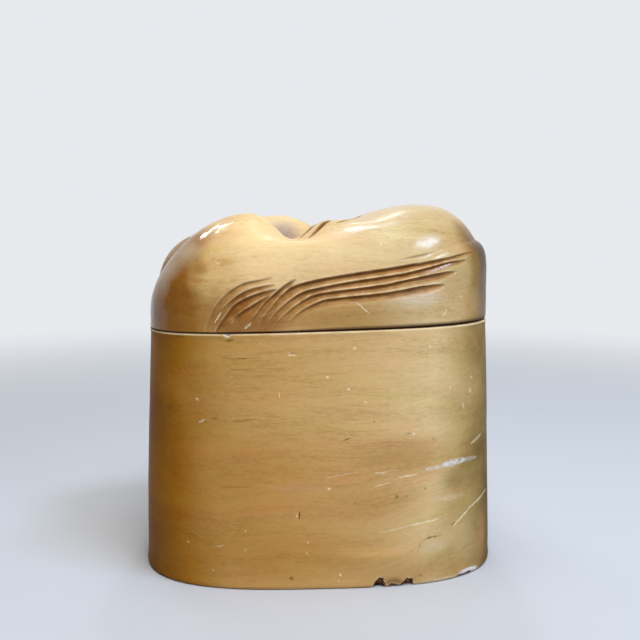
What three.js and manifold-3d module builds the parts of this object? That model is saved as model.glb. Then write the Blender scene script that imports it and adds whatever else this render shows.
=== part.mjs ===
// A carved wooden box: a hollowed block and a solid lid sawn from the same block, carved into
// three swelling forms with gouged strands sweeping across it. The lid lifts straight off, and a
// board let into its underside drops into the mouth of the hollow and keeps it in place.
// Millimetres, +Z up, origin on the resting face under the middle of the block.
// The photographed side faces -Y.

import * as THREE from 'three';
import Module from 'manifold-3d';

const wasm = await Module();
wasm.setup();

// The block, measured at the seam between base and lid
const SEAM_HALF_WIDTH = 75;
const SEAM_HALF_DEPTH = 51;
const SEAM_HEIGHT = 106.7;
const SEAM_RISE = 1.8;          // the hand-sawn seam climbs this much from the middle to the right end
const OUTLINE_POWER = 3;        // 2 is an ellipse, higher is boxier

// The base
const FOOT_SPREAD = 3.5;        // the foot stands out this far beyond the seam at either end
const SPREAD_POWER = 1.4;       // how late the side turns upright
const FOOT_EASE = 1.5;
const SEAM_EASE = 0.5;
const WALL = 11;
const FLOOR = 13;
const CAVITY_CORNER = 8;        // radius between the wall and the floor of the hollow

// The lid and its locating board
const SEAM_GAP_LEFT = 0.3;      // the lid has warped a little and stands open at the right
const SEAM_GAP_RIGHT = 0.9;
const PLUG_CLEARANCE = 0.8;     // all round, between the board and the mouth
const PLUG_DROP = 8;            // how far the board reaches below the seam
const PLUG_LET_IN = 3;          // depth of the recess that holds it in the lid
const GLUE_LINE = 0.3;

// The carving is laid out in x and y on a block of this size, and stretches with the block
const LAYOUT_HALF_WIDTH = 75;
const LAYOUT_HALF_DEPTH = 51;

// The three swelling forms of the lid and the saddle between them. top is the height above the
// seam, and left, right, front and back are the radii at the crest, each towards its side.
const LEFT_FORM = { x: -32, y: -17.5, top: 48.7, left: 48, right: 12, front: 70, back: 18 };
const RIGHT_FORM = { x: 54, y: -5, top: 52.7, left: 98, right: 21, front: 60, back: 40 };
const REAR_FORM = { x: -20, y: 25.5, top: 48.7, left: 100, right: 29, front: 24, back: 40 };
const SADDLE = { x: 4, y: -18, top: 44.5, left: 11, right: 66, front: 60, back: 30 };
const VALLEY_BLEND = 1.6;       // how softly the forms run together on top
const FRONT_BLEND = 4.8;        // and where the valleys have opened to the front
const VALLEY_OPENS = { from: -12, to: -40 };    // in y
const LIP_BLEND = 9.5;          // the left form and the saddle close the valley with a lip in front
const LIP_STARTS = { from: -4, to: -33 };       // in y
const FACE_BLEND = 26;          // and below the lip they are one smooth face
const FACE_STARTS = { from: -30.5, to: -44.5 }; // in y

// How square the lid's shoulder is: 2 is an ellipse, higher is boxier
const SHOULDER_LEFT = 3.1;
const SHOULDER_RIGHT = 4.6;
const SHOULDER_CHANGES = { from: -10, to: 60 }; // in x
const SHOULDER_LEFT_END = 0.5;  // added at the left end
const LEFT_END_STARTS = -60;    // in x

// The upright band outside the strands, highest at the end of the block where a bundle starts
// and gone where the bundle has come down to the seam
const FRONT_BAND = { height: 36.7, power: 9, goneAt: -40 };     // in x
const BACK_BAND = { height: 43, power: 4.5, goneAt: 40 };
const BACK_TAKES_OVER = { from: -8, to: 18 };   // in y
const BAND_STARTS = { from: 0.2, to: 0.6 };     // in shares of the way from the middle to the outline

// The gouged strands
const GOUGE_WIDTH = 3.2;
const GOUGE_DEPTH = 1.7;
const GOUGE_STEEP_SHARE = 0.14; // share of the width that the steep upper wall takes
const GOUGE_RUNOUT = 9;         // length over which a cut fades at an end that doesn't reach the seam
const GOUGE_LIFT = 1;           // the cutter starts this far outside the surface
const GOUGE_STEP = 4.5;         // length of one step along a cut

// Strands of one side: how deep each is cut, as a share of the full depth, and places on the side
// as x and the height above the seam. A strand whose last height is below 0 runs out through the
// lid's lower edge. The first bundle sweeps from the right end down to the seam, and the second
// lies left of it.
const SIDE_STRANDS = [
  { cut: 0.35, places: [[46, 29.7], [41, 28.9], [35.4, 28], [31, 27]] },
  { cut: 1, places: [[63, 30], [57.9, 29.4], [51.4, 27.8], [44.1, 26.4], [28.8, 24.1], [4.7, 21.2],
    [-6.4, 19.3], [-12.1, 17.7], [-16, 14.9], [-20.2, 10.3], [-24.3, 5], [-27.5, -2]] },
  { cut: 1, places: [[60, 26], [54.7, 25.6], [51.3, 25.5], [44.6, 24.2], [31.8, 21.3], [27.2, 20.8],
    [10.8, 18.9], [-2.6, 16.7], [-8.4, 15.3], [-14.1, 11.8], [-19.2, 7.1], [-22.9, 2], [-24.6, -2]] },
  { cut: 1, places: [[54.5, 21.9], [47.8, 21.4], [34.8, 19.1], [22, 17], [5.6, 15.4], [-2.5, 14.3],
    [-7.4, 12.4], [-14.9, 7.1], [-19.9, 1.4], [-21.6, -2]] },
  { cut: 1, places: [[49.5, 16.8], [44.5, 16.7], [38, 16.1], [31.7, 15], [23, 13.8], [4, 12.4],
    [-1.5, 11.4], [-8.4, 8.2], [-12.5, 4.6], [-15, 0.3], [-15.8, -2]] },
  { cut: 0.45, places: [[-14, 21.5], [-21.2, 21.3], [-28.2, 20.4], [-36.1, 17.9], [-42.1, 14],
    [-45.9, 7.4], [-48.3, -2]] },
  { cut: 0.7, places: [[-19.5, 18.8], [-24.5, 18.2], [-30.8, 16.5], [-36.1, 13.3], [-41.2, 8.6]] },
  { cut: 1, places: [[-18.5, 17], [-23.5, 16.1], [-29.5, 14.2], [-35.1, 11.3], [-38.1, 7.7],
    [-41.5, 3.1], [-44.5, -2]] },
  { cut: 0.9, places: [[-19.8, 15], [-25.5, 12.4], [-30.8, 9.2], [-34.5, 6.7], [-37.5, 3.8]] },
  { cut: 1, places: [[-11, 20.8], [-14, 19.3], [-18.2, 16.2], [-23.6, 11.2], [-27.4, 6.2],
    [-31, 2], [-33.5, -2]] },
];

// Strands on top as places in plan, from the back over the saddle into the valley's front end
const TOP_STRANDS = [
  { cut: 0.8, places: [[15, 33], [13, 20], [9, 6], [3.5, -5], [-2.5, -15], [-6.5, -21.5], [-10, -27]] },
  { cut: 1, places: [[23, 31], [20, 18], [15, 4], [9, -9], [2.2, -20], [-2.5, -28.5], [-6.4, -32.5]] },
  { cut: 0.8, places: [[31, 28], [27, 16], [22, 3], [17, -10], [11, -20], [6, -26.5]] },
];

// Facets
const AROUND = 76;
const LID_RINGS = 21;
const SIDE_RINGS = 6;
const CORNER_RINGS = 4;
const PROFILE_SAMPLES = 160;
const OUTLINE_SAMPLES = 4000;

function smooth(from, to, value) {
  const t = Math.min(Math.max((value - from) / (to - from), 0), 1);
  return t * t * (3 - 2 * t);
}

function superellipse(angle, halfWidth, halfDepth) {
  const c = Math.cos(angle);
  const s = Math.sin(angle);
  return [
    halfWidth * Math.sign(c) * Math.abs(c) ** (2 / OUTLINE_POWER),
    halfDepth * Math.sign(s) * Math.abs(s) ** (2 / OUTLINE_POWER),
  ];
}

function layoutX(x) {
  return (x * LAYOUT_HALF_WIDTH) / SEAM_HALF_WIDTH;
}

function layoutY(y) {
  return (y * LAYOUT_HALF_DEPTH) / SEAM_HALF_DEPTH;
}

// Angles that space points evenly round the outline
function outlineAngles(count) {
  const lengths = [0];
  let [lastX, lastY] = superellipse(0, SEAM_HALF_WIDTH, SEAM_HALF_DEPTH);
  for (let i = 1; i <= OUTLINE_SAMPLES; i += 1) {
    const [x, y] = superellipse((i / OUTLINE_SAMPLES) * 2 * Math.PI, SEAM_HALF_WIDTH, SEAM_HALF_DEPTH);
    lengths.push(lengths[i - 1] + Math.hypot(x - lastX, y - lastY));
    lastX = x;
    lastY = y;
  }
  const angles = [];
  let index = 0;
  for (let k = 0; k < count; k += 1) {
    const target = (k / count) * lengths[OUTLINE_SAMPLES];
    while (lengths[index + 1] < target) {
      index += 1;
    }
    const part = (target - lengths[index]) / (lengths[index + 1] - lengths[index]);
    angles.push(((index + part) / OUTLINE_SAMPLES) * 2 * Math.PI);
  }
  return angles;
}

const ANGLES = outlineAngles(AROUND);

// Height of the sawn face of the base at x
function seamAt(x) {
  return SEAM_HEIGHT + (SEAM_RISE * x) / SEAM_HALF_WIDTH;
}

function seamGapAt(x) {
  const middle = (SEAM_GAP_LEFT + SEAM_GAP_RIGHT) / 2;
  return middle + ((SEAM_GAP_RIGHT - SEAM_GAP_LEFT) / 2) * (x / SEAM_HALF_WIDTH);
}

function lidFaceAt(x) {
  return seamAt(x) + seamGapAt(x);
}

// One ring of a loft: an outline with its height given by a function of x
function ring(halfWidth, halfDepth, heightAt) {
  return ANGLES.map((angle) => {
    const [x, y] = superellipse(angle, halfWidth, halfDepth);
    return [x, y, heightAt(x)];
  });
}

// A closed solid through a list of rings, with a point on the axis closing either end. The rings
// run from the start of the skin to its end with the material on the inside.
function loft(startPoint, rings, endPoint) {
  const positions = [startPoint, ...rings.flat(), endPoint];
  const count = rings[0].length;
  const last = positions.length - 1;
  const index = [];
  for (let k = 0; k < count; k += 1) {
    const next = (k + 1) % count;
    index.push(0, 1 + next, 1 + k);
    for (let r = 0; r + 1 < rings.length; r += 1) {
      const low = 1 + r * count;
      const high = low + count;
      index.push(low + k, low + next, high + next, low + k, high + next, high + k);
    }
    const top = 1 + (rings.length - 1) * count;
    index.push(top + k, top + next, last);
  }
  const geometry = new THREE.BufferGeometry();
  geometry.setAttribute('position', new THREE.Float32BufferAttribute(positions.flat(), 3));
  geometry.setIndex(index);
  return geometry;
}

function solidOf(geometry) {
  const mesh = new wasm.Mesh({
    numProp: 3,
    vertProperties: Float32Array.from(geometry.getAttribute('position').array),
    triVerts: Uint32Array.from(geometry.getIndex().array),
  });
  return new wasm.Manifold(mesh);
}

function geometryOf(solid) {
  const mesh = solid.getMesh();
  const geometry = new THREE.BufferGeometry();
  geometry.setAttribute('position', new THREE.BufferAttribute(mesh.vertProperties, 3));
  geometry.setIndex(new THREE.BufferAttribute(mesh.triVerts, 1));
  return geometry;
}

// The base: up the outside, over the rim and down into the hollow
function baseGeometry() {
  const outside = (height, inset) => {
    const flare = 1 - (height / SEAM_HEIGHT) ** SPREAD_POWER;
    const scale = 1 + (FOOT_SPREAD / SEAM_HALF_WIDTH) * flare;
    return [SEAM_HALF_WIDTH * scale - inset, SEAM_HALF_DEPTH * scale - inset];
  };
  const rings = [
    ring(...outside(0, FOOT_EASE), () => 0),
    ring(...outside(0, FOOT_EASE * 0.3), () => FOOT_EASE * 0.3),
  ];
  for (let i = 0; i <= SIDE_RINGS; i += 1) {
    const height = FOOT_EASE + ((SEAM_HEIGHT - SEAM_EASE - FOOT_EASE) * i) / SIDE_RINGS;
    const share = height / SEAM_HEIGHT;
    rings.push(ring(...outside(height, 0), (x) => height + (seamAt(x) - SEAM_HEIGHT) * share));
  }
  rings.push(ring(...outside(SEAM_HEIGHT, SEAM_EASE), seamAt));
  const insideWidth = SEAM_HALF_WIDTH - WALL;
  const insideDepth = SEAM_HALF_DEPTH - WALL;
  rings.push(ring(insideWidth + SEAM_EASE, insideDepth + SEAM_EASE, seamAt));
  rings.push(ring(insideWidth, insideDepth, (x) => seamAt(x) - SEAM_EASE));
  for (let i = 0; i <= CORNER_RINGS; i += 1) {
    const turn = ((i / CORNER_RINGS) * Math.PI) / 2;
    const inset = CAVITY_CORNER * (1 - Math.cos(turn));
    const height = FLOOR + CAVITY_CORNER * (1 - Math.sin(turn));
    rings.push(ring(insideWidth - inset, insideDepth - inset, () => height));
  }
  return loft([0, 0, 0], rings, [0, 0, FLOOR]);
}

function formHeight(form, x, y) {
  const u = x - form.x;
  const v = y - form.y;
  const alongX = u < 0 ? form.left : form.right;
  const alongY = v < 0 ? form.front : form.back;
  return form.top - (u * u) / (2 * alongX) - (v * v) / (2 * alongY);
}

// The highest of several heights, rounded where two of them meet
function softHighest(heights, blend) {
  const highest = Math.max(...heights);
  const sum = heights.reduce((total, height) => total + Math.exp((height - highest) / blend), 0);
  return highest + blend * Math.log(sum);
}

// Height of the carved forms over the seam, before the shoulder rounds them down to it
function crownHeight(planX, planY) {
  const x = layoutX(planX);
  const y = layoutY(planY);
  const opened = smooth(VALLEY_OPENS.from, VALLEY_OPENS.to, y);
  const blend = VALLEY_BLEND + (FRONT_BLEND - VALLEY_BLEND) * opened;
  const lipBlend = VALLEY_BLEND
    + (LIP_BLEND - VALLEY_BLEND) * smooth(LIP_STARTS.from, LIP_STARTS.to, y)
    + (FACE_BLEND - LIP_BLEND) * smooth(FACE_STARTS.from, FACE_STARTS.to, y);
  const lip = softHighest([formHeight(LEFT_FORM, x, y), formHeight(SADDLE, x, y)], lipBlend);
  return softHighest([lip, formHeight(RIGHT_FORM, x, y), formHeight(REAR_FORM, x, y)], blend);
}

function shoulderPower(outlineX) {
  const x = layoutX(outlineX);
  const rightness = smooth(SHOULDER_CHANGES.from, SHOULDER_CHANGES.to, x);
  const atLeftEnd = smooth(LEFT_END_STARTS, -LAYOUT_HALF_WIDTH, x);
  return SHOULDER_LEFT + (SHOULDER_RIGHT - SHOULDER_LEFT) * rightness + SHOULDER_LEFT_END * atLeftEnd;
}

function bandAt(outlineX, outlineY) {
  const x = layoutX(outlineX);
  const behind = smooth(BACK_TAKES_OVER.from, BACK_TAKES_OVER.to, layoutY(outlineY));
  const front = FRONT_BAND.height * smooth(FRONT_BAND.goneAt, LAYOUT_HALF_WIDTH, x);
  const back = BACK_BAND.height * smooth(BACK_BAND.goneAt, -LAYOUT_HALF_WIDTH, x);
  return {
    height: Math.max(front * (1 - behind) + back * behind, SEAM_EASE),
    power: FRONT_BAND.power + (BACK_BAND.power - FRONT_BAND.power) * behind,
  };
}

function shareOfOutline(x, y) {
  const across = Math.abs(x / SEAM_HALF_WIDTH) ** OUTLINE_POWER;
  const deep = Math.abs(y / SEAM_HALF_DEPTH) ** OUTLINE_POWER;
  return (across + deep) ** (1 / OUTLINE_POWER);
}

// Height of the lid's skin over its sawn face at a place in plan. On the outline it is 0.
function skinHeight(x, y) {
  const share = Math.max(shareOfOutline(x, y), 1e-6);
  if (share >= 1) {
    return 0;
  }
  const power = shoulderPower(x / share);
  const band = bandAt(x / share, y / share);
  const crown = crownHeight(x, y) - (seamAt(x) - SEAM_HEIGHT);
  const rounded = crown * (1 - share ** power) ** (1 / power);
  const stands = smooth(BAND_STARTS.from, BAND_STARTS.to, share);
  const upright = band.height * stands * (1 - share ** band.power) ** (1 / band.power);
  return Math.max(rounded, upright);
}

// Rings of the lid's skin in one direction of the outline, from the edge up to the middle,
// evenly spaced along the surface
function skinProfile(angle) {
  const [outlineX, outlineY] = superellipse(angle, SEAM_HALF_WIDTH, SEAM_HALF_DEPTH);
  const power = shoulderPower(outlineX);
  const samples = [];
  for (let i = 0; i <= PROFILE_SAMPLES; i += 1) {
    const turn = ((i / PROFILE_SAMPLES) * Math.PI) / 2;
    const radius = (Math.cos(turn) ** power + Math.sin(turn) ** power) ** (-1 / power);
    const share = Math.cos(turn) * radius;
    const x = outlineX * share;
    const y = outlineY * share;
    samples.push(new THREE.Vector3(x, y, lidFaceAt(x) + Math.max(skinHeight(x, y), i === 0 ? 0 : SEAM_EASE)));
  }
  const lengths = [0];
  for (let i = 1; i < samples.length; i += 1) {
    lengths.push(lengths[i - 1] + samples[i].distanceTo(samples[i - 1]));
  }
  const total = lengths[lengths.length - 1];
  const points = [];
  let index = 0;
  for (let r = 0; r < LID_RINGS; r += 1) {
    const target = SEAM_EASE + ((total - SEAM_EASE) * r) / LID_RINGS;
    while (lengths[index + 1] < target) {
      index += 1;
    }
    const part = (target - lengths[index]) / (lengths[index + 1] - lengths[index]);
    points.push(samples[index].clone().lerp(samples[index + 1], part).toArray());
  }
  return points;
}

function lidBlankGeometry() {
  const recessWidth = SEAM_HALF_WIDTH - WALL - PLUG_CLEARANCE + GLUE_LINE;
  const recessDepth = SEAM_HALF_DEPTH - WALL - PLUG_CLEARANCE + GLUE_LINE;
  const recessTop = (x) => lidFaceAt(x) + PLUG_LET_IN;
  const rings = [
    ring(recessWidth, recessDepth, recessTop),
    ring(recessWidth, recessDepth, lidFaceAt),
    ring(SEAM_HALF_WIDTH - SEAM_EASE, SEAM_HALF_DEPTH - SEAM_EASE, lidFaceAt),
  ];
  const profiles = ANGLES.map(skinProfile);
  for (let r = 0; r < LID_RINGS; r += 1) {
    rings.push(profiles.map((profile) => profile[r]));
  }
  const top = lidFaceAt(0) + skinHeight(0, 0);
  return loft([0, 0, recessTop(0)], rings, [0, 0, top]);
}

// A place on a side face, side -1 for the front and 1 for the back, from x and the height over
// the seam: found from outside inwards, where the skin first reaches that height
function placeOnSide(side, x, height) {
  const within = Math.min(Math.abs(x / SEAM_HALF_WIDTH), 0.999);
  const edge = SEAM_HALF_DEPTH * (1 - within ** OUTLINE_POWER) ** (1 / OUTLINE_POWER);
  let outer = edge;
  let inner = edge;
  while (inner > 0 && skinHeight(x, side * inner) < height) {
    outer = inner;
    inner -= 0.5;
  }
  for (let i = 0; i < 30; i += 1) {
    const middle = (inner + outer) / 2;
    if (skinHeight(x, side * middle) < height) {
      outer = middle;
    } else {
      inner = middle;
    }
  }
  return new THREE.Vector3(x, side * inner, lidFaceAt(x) + height);
}

function placeOnTop(x, y) {
  return new THREE.Vector3(x, y, lidFaceAt(x) + skinHeight(x, y));
}

// Surface normal of a place function by small steps in its two numbers
function normalAt(place, u, v) {
  const here = place(u, v);
  const step = 0.4;
  const alongU = place(u + step, v).sub(here);
  const alongV = place(u, v + step).sub(here);
  return alongU.cross(alongV).normalize();
}

// A closed V-shaped cutter along a strand. The upper wall of the cut is steep and the lower one
// long, so the wood between two cuts is left as a strand that laps over the next.
function gouge(place, points, upperSide, cut, reachesSeam) {
  const curve = new THREE.SplineCurve(points.map(([u, v]) => new THREE.Vector2(u, v)));
  const length = curve.getLength();
  const steps = Math.max(Math.round(length / GOUGE_STEP), 3);
  const sections = [];
  for (let i = 0; i <= steps; i += 1) {
    const { x: u, y: v } = curve.getPointAt(i / steps);
    const here = place(u, v);
    const normal = normalAt(place, u, v).multiplyScalar(upperSide);
    const ahead = curve.getTangentAt(i / steps);
    const along = place(u + ahead.x * 0.5, v + ahead.y * 0.5).sub(here).normalize();
    const across = new THREE.Vector3().crossVectors(normal, along).normalize();
    const fromStart = (length * i) / steps;
    const fromEnd = reachesSeam ? GOUGE_RUNOUT : length - fromStart;
    const share = cut * Math.sqrt(Math.min(fromStart, fromEnd, GOUGE_RUNOUT) / GOUGE_RUNOUT);
    const depth = GOUGE_DEPTH * share;
    const width = GOUGE_WIDTH * (0.35 + 0.65 * share);
    const grow = (depth + GOUGE_LIFT) / Math.max(depth, GOUGE_DEPTH * 0.35);
    const lowest = here.clone().addScaledVector(normal, -depth);
    const rise = normal.clone().multiplyScalar(depth + GOUGE_LIFT);
    sections.push([
      lowest,
      lowest.clone().add(rise).addScaledVector(across, -width * GOUGE_STEEP_SHARE * grow),
      lowest.clone().add(rise).addScaledVector(across, width * (1 - GOUGE_STEEP_SHARE) * grow),
    ]);
  }
  const positions = sections.flat().flatMap((point) => point.toArray());
  const index = [0, 1, 2];
  for (let i = 0; i < steps; i += 1) {
    for (let k = 0; k < 3; k += 1) {
      const a = 3 * i + k;
      const b = 3 * i + ((k + 1) % 3);
      index.push(a, a + 3, b, b, a + 3, b + 3);
    }
  }
  const end = 3 * steps;
  index.push(end, end + 2, end + 1);
  const geometry = new THREE.BufferGeometry();
  geometry.setAttribute('position', new THREE.Float32BufferAttribute(positions, 3));
  geometry.setIndex(index);
  return geometry;
}

// The blank with its strands cut: the same bundles on the front and, turned half a turn, on the
// back, and the bundle over the saddle
function lidGeometry() {
  const cutters = [];
  for (const side of [-1, 1]) {
    const place = (x, height) => placeOnSide(side, x, height);
    const stretch = (-side * SEAM_HALF_WIDTH) / LAYOUT_HALF_WIDTH;
    for (const { cut, places } of SIDE_STRANDS) {
      const points = places.map(([x, height]) => [x * stretch, height]);
      const reachesSeam = places[places.length - 1][1] < 0;
      cutters.push(gouge(place, points, -side, cut, reachesSeam));
    }
  }
  for (const { cut, places } of TOP_STRANDS) {
    const points = places.map(([x, y]) => [
      (x * SEAM_HALF_WIDTH) / LAYOUT_HALF_WIDTH,
      (y * SEAM_HALF_DEPTH) / LAYOUT_HALF_DEPTH,
    ]);
    cutters.push(gouge(placeOnTop, points, 1, cut, false));
  }
  let lid = solidOf(lidBlankGeometry());
  for (const cutter of cutters) {
    lid = lid.subtract(solidOf(cutter));
  }
  return geometryOf(lid);
}

// The board glued into the lid's recess, loose in the mouth of the hollow
function plugGeometry() {
  const halfWidth = SEAM_HALF_WIDTH - WALL - PLUG_CLEARANCE;
  const halfDepth = SEAM_HALF_DEPTH - WALL - PLUG_CLEARANCE;
  const lowest = (x) => seamAt(x) - PLUG_DROP;
  const rings = [
    ring(halfWidth - 2 * SEAM_EASE, halfDepth - 2 * SEAM_EASE, lowest),
    ring(halfWidth, halfDepth, (x) => lowest(x) + 2 * SEAM_EASE),
    ring(halfWidth, halfDepth, (x) => lidFaceAt(x) + PLUG_LET_IN - GLUE_LINE),
  ];
  return loft([0, 0, lowest(0)], rings, [0, 0, lidFaceAt(0) + PLUG_LET_IN - GLUE_LINE]);
}

function piece(name, geometry, colour, roughness) {
  geometry.computeVertexNormals();
  const material = new THREE.MeshStandardMaterial({ color: colour, roughness, metalness: 0 });
  const mesh = new THREE.Mesh(geometry, material);
  mesh.name = name;
  return mesh;
}

const box = new THREE.Group();
box.add(piece('base', baseGeometry(), 0xb68a53, 0.38));
box.add(piece('lid', lidGeometry(), 0xc6985a, 0.34));
box.add(piece('lid_plug', plugGeometry(), 0xc4a06c, 0.6));

export default box;
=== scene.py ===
import math

import bpy
import numpy as np
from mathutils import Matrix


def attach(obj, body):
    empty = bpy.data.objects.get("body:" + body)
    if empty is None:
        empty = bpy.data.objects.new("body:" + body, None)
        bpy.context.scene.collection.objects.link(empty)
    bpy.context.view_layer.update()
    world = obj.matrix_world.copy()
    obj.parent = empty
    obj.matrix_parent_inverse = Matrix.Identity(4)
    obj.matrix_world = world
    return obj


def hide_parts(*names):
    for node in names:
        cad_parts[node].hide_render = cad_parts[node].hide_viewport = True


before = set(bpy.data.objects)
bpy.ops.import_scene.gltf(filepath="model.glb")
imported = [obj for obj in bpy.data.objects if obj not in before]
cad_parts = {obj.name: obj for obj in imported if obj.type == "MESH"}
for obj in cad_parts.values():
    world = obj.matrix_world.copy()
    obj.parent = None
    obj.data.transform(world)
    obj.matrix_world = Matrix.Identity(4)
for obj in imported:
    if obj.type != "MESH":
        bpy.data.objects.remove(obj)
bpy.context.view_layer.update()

MM = 0.001

# The block, measured at the seam between base and lid
SEAM_HALF_WIDTH = 75.0
SEAM_HALF_DEPTH = 51.0
SEAM_OUTLINE = (SEAM_HALF_WIDTH, SEAM_HALF_DEPTH)
SEAM_HEIGHT = 106.7
SEAM_RISE = 1.8
OUTLINE_POWER = 3.0

# The base
FOOT_SPREAD = 3.5
SPREAD_POWER = 1.4
FOOT_EASE = 1.5
SEAM_EASE = 0.5
WALL = 11.0
FLOOR = 13.0
CAVITY_CORNER = 8.0

# The worn mouth of the hollow: how far out and how far down it is at each ring
MOUTH_EASE = [(1.0, 0.0), (0.3, 0.2), (0.0, 0.8)]

# The lid and its locating board
SEAM_GAP_LEFT = 0.3
SEAM_GAP_RIGHT = 0.9
PLUG_CLEARANCE = 0.8
PLUG_DROP = 8.0
PLUG_LET_IN = 3.0
PLUG_EASE = 1.2
GLUE_LINE = 0.3
RECESS_EASE = 0.3
RECESS_MOUTH_EASE = 0.2

# The lid's lower edge: where its rounding starts and its middle, in from the outline
LID_EDGE = SEAM_EASE * 1.2
LID_EDGE_MIDDLE = SEAM_EASE * 0.35

# The carved forms: middle in plan, height over the seam, and the radii at the crest towards the
# left, right, front and back
LEFT_FORM = (-32, -17.5, 48.7, 48, 12, 70, 18)
RIGHT_FORM = (54, -5, 52.7, 98, 21, 60, 40)
REAR_FORM = (-20, 25.5, 48.7, 100, 29, 24, 40)
SADDLE = (4, -18, 44.5, 11, 66, 60, 30)

# How softly the forms run together on top, and in front where the valleys have opened, in y
VALLEY_BLEND = 1.6
FRONT_BLEND = 4.8
VALLEY_OPENS = (-12, -40)

# The left form and the saddle close the valley with a lip, and below it they are one face
LIP_BLEND = 9.5
LIP_STARTS = (-4, -33)
FACE_BLEND = 26.0
FACE_STARTS = (-30.5, -44.5)

# How boxy the shoulders are, and where along x that changes
SHOULDER_LEFT = 3.1
SHOULDER_RIGHT = 4.6
SHOULDER_CHANGES = (-10, 60)
SHOULDER_LEFT_END = 0.5
LEFT_END_STARTS = -60

# The upright bands below the crown: height, how boxy they are and the x where they have gone
FRONT_BAND_HEIGHT = 36.7
FRONT_BAND_POWER = 9.0
FRONT_BAND_GONE_AT = -40
BACK_BAND_HEIGHT = 43.0
BACK_BAND_POWER = 4.5
BACK_BAND_GONE_AT = 40
BACK_TAKES_OVER = (-8, 18)
BAND_STARTS = (0.2, 0.6)

# Strands on a side: how deep each is cut, as a share of the full depth, the run in which it gets
# there, the share left at the seam or 0 if it ends before it, then x and the height over the seam
SIDE_STRANDS = [
    (0.35, 9, 0, [(46, 29.7), (41, 28.9), (35.4, 28), (31, 27)]),
    (1.0, 30, 0.02, [(63, 29.2), (57.9, 28.5), (51.4, 27.2), (44.1, 26.2), (28.8, 24.1), (4.7, 21.2),
                     (-6.4, 19.3), (-12.1, 17.7), (-16, 14.9), (-20.2, 10.3), (-24.3, 5), (-27.5, -2)]),
    (1.0, 16, 0.02, [(60, 26), (54.7, 25.6), (51.3, 25.3), (44.6, 24.0), (30, 21.2), (10.8, 18.9),
                     (-2.6, 16.7), (-8.4, 15.3), (-14.1, 11.8), (-19.2, 7.1), (-22.9, 2), (-24.6, -2)]),
    (1.0, 9, 0.02, [(54.5, 21.5), (47.8, 21.0), (34.8, 19.1), (22, 17), (5.6, 15.4), (-2.5, 14.3),
                    (-7.4, 12.4), (-14.9, 7.1), (-19.9, 1.4), (-21.6, -2)]),
    (1.0, 9, 0.02, [(49.5, 16.4), (44.5, 16.3), (38, 15.7), (31.7, 14.8), (23, 13.8), (4, 12.4),
                    (-1.5, 11.4), (-8.4, 8.2), (-12.5, 4.6), (-15, 0.3), (-15.8, -2)]),
    (0.45, 9, 0.5, [(-20, 21.6), (-26.5, 20.6), (-32.4, 19.4), (-38.0, 16.0), (-42.6, 11.2), (-46, 5),
                    (-48, -2)]),
    (0.7, 9, 0, [(-19.5, 18.8), (-24.5, 18.2), (-30.8, 16.5), (-36.1, 13.3), (-41.2, 8.6)]),
    (1.0, 9, 0.6, [(-18.5, 17), (-23.5, 16.1), (-29.5, 14.2), (-35.1, 11.3), (-38.1, 7.7), (-41.5, 3.1),
                   (-44.5, -2)]),
    (0.9, 9, 0, [(-19.8, 15), (-25.5, 12.4), (-30.8, 9.2), (-34.5, 6.7), (-37.5, 3.8)]),
    (1.0, 9, 0.02, [(-11, 20.8), (-14, 19.3), (-18.2, 16.2), (-23.6, 11.2), (-27.4, 6.2), (-31, 2),
                    (-33.5, -2)]),
]
# Where along x the long walls of the cuts widen, and how much
STRANDS_WIDEN = (-4, -20)
WIDENING = 0.5

# Strands on top, in plan, from the back over the saddle into the valley's front end
TOP_STRANDS = [
    (1.0, [(15, 33), (13, 20), (9, 6), (3.5, -5), (-2.5, -15), (-6.5, -21.5), (-10, -27)]),
    (1.0, [(23, 31), (20, 18), (15, 4), (9, -9), (2.2, -20), (-2.5, -28.5), (-6.4, -32.5)]),
    (0.8, [(31, 28), (27, 16), (22, 3), (17, -10), (11, -20), (6, -26.5)]),
]

# The gouge: the steep upper wall and the long, slightly hollow lower wall of a cut, and its depth
GOUGE_STEEP = 0.45
GOUGE_LONG = 3.4
GOUGE_HOLLOW = 1.3
GOUGE_DEPTH = 1.55
GOUGE_RUNOUT = 9.0
RUNOUT_POWER = 0.5
SEAM_FADE = 22.0
SEAM_FADE_POWER = 1.5
NARROWEST_CUT = 0.35
CREST_WIDTH = 0.35

# A point belongs to a cut up to this far past its end, and this far off its line through the skin
CUT_PAST_END = 0.6
CUT_THROUGH = 3.5
# The stain and painted shadow on the steep wall start below the wall's foot and end above its crest
WALL_DARK_BELOW = 0.35
WALL_DARK_ABOVE = 0.2

# Unevenness left by hand, as layers of waves: how strong, how long and their seed
LID_UNEVENNESS = [(0.06, 17, 3), (0.03, 6, 4)]
BASE_UNEVENNESS = [(0.12, 46, 1), (0.03, 14, 2)]
HOLLOW_SCALLOPS = [(0.16, 6, 5)]
BOARD_UNEVENNESS = [(0.04, 9, 7)]
CHIP_UNEVENNESS = [(0.25, 2.6, 21), (0.15, 1.3, 22)]
# How far they are lowered, so that nothing stands proud of the solids
LID_SUNK = 0.15
BASE_WAVE_PEAK = 2.2
BOARD_WAVE_PEAK = 2.5

# Chips knocked out of the front foot edge: x, half length, height and depth
FOOT_CHIPS = [(23.2, 2.9, 4.6, 2.2), (35.2, 2.8, 4.0, 1.7), (29.0, 3.6, 2.2, 0.7), (61.0, 6.0, 1.8, 0.6)]
CHIP_STEEPNESS = 2.2
# A nick in the rim above the left of the front
RIM_NICK = (-38.7, 1.6, 1.5, 1.0)
NICK_STEEPNESS = 1.6
CHIPS_IN_FRONT_OF = -20

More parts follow.
